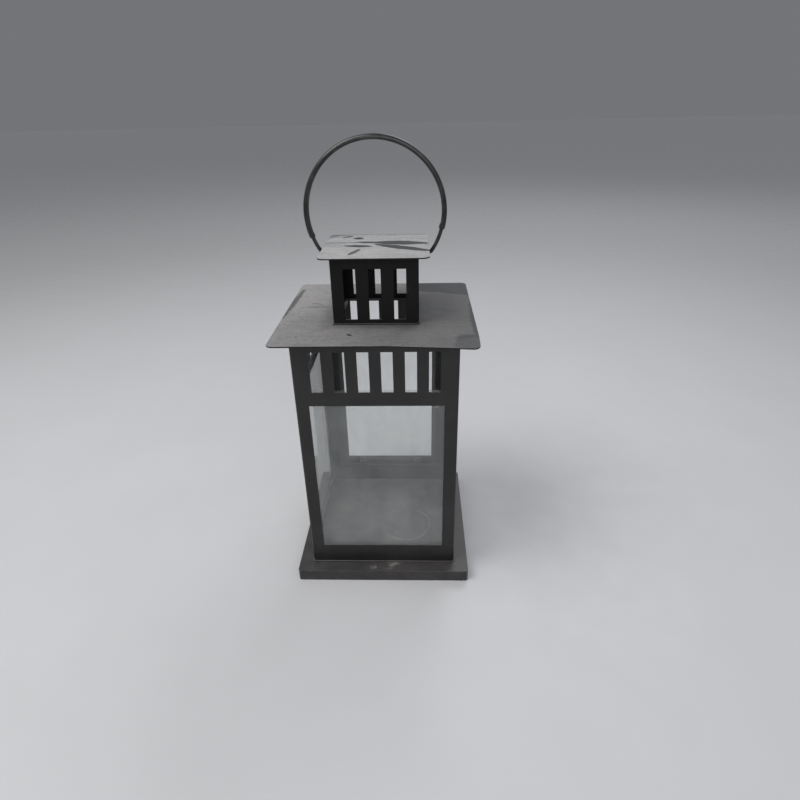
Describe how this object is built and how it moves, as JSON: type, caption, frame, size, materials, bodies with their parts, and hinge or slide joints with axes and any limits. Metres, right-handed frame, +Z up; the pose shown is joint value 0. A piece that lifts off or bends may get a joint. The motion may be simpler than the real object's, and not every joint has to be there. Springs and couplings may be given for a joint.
{
  "type": "square candle lantern",
  "caption": "Square sheet-steel candle lantern with glazed, slotted walls, a glazed door in the back, a flat roof, a small windowed chimney with a cap, and a swinging wire bail.",
  "frame": {"origin": "middle of the underside, on the plane that the lantern stands on", "axes": "+Z up, -Y towards the front wall, +Y towards the door, +X to the right when the front is faced"},
  "size_m": [0.1564, 0.1564, 0.3659],
  "materials": {
    "base_paint": "worn black paint with dust and a little rust",
    "wall_paint": "satin black paint",
    "roof_paint": "black paint under grey dust",
    "chimney_paint": "matte black paint",
    "cap_paint": "black paint under thick grey dust",
    "bail_paint": "black paint rubbed along the grip",
    "clear_glass": "clear with a film of dust",
    "clip_steel": "dull plated strip",
    "hinge_steel": "black paint worn at the knuckles",
    "rivet_steel": "dull bare steel"
  },
  "bodies": {
    "lantern": {"base_tray": "base_paint", "front_wall": "wall_paint", "left_wall": "wall_paint", "right_wall": "wall_paint", "rear_frame": "wall_paint", "roof_plate": "roof_paint", "chimney": "chimney_paint", "cap_plate": "cap_paint", "front_pane": "clear_glass", "left_pane": "clear_glass", "right_pane": "clear_glass", "front_clips": "clip_steel", "left_clips": "clip_steel", "right_clips": "clip_steel", "frame_hinge_leaves": "hinge_steel", "hinge_pins": "rivet_steel", "latch_washer": "rivet_steel", "latch_rivet": "rivet_steel"},
    "bail": {"bail_wire": "bail_paint", "bail_grip": "bail_paint"},
    "door": {"door_leaf": "wall_paint", "door_pane": "clear_glass", "door_clips": "clip_steel", "door_hinge_leaves": "hinge_steel", "door_knob": "hinge_steel", "knob_rivet": "rivet_steel"},
    "latch": {"latch": "hinge_steel"}
  },
  "joints": [
    {"name": "bail_swing", "type": "hinge", "parent": "lantern", "child": "bail", "pos_m": [0, 0, 0.2791], "axis": [1, 0, 0], "range_deg": [-122, 122]},
    {"name": "door_hinge", "type": "hinge", "parent": "lantern", "child": "door", "pos_m": [-0.0573, 0.0663, 0.10255], "axis": [0, 0, 1], "range_deg": [0, 180]},
    {"name": "latch_pivot", "type": "hinge", "parent": "lantern", "child": "latch", "pos_m": [0.06105, 0.0665, 0.12055], "axis": [0, 1, 0], "continuous": true}
  ]
}
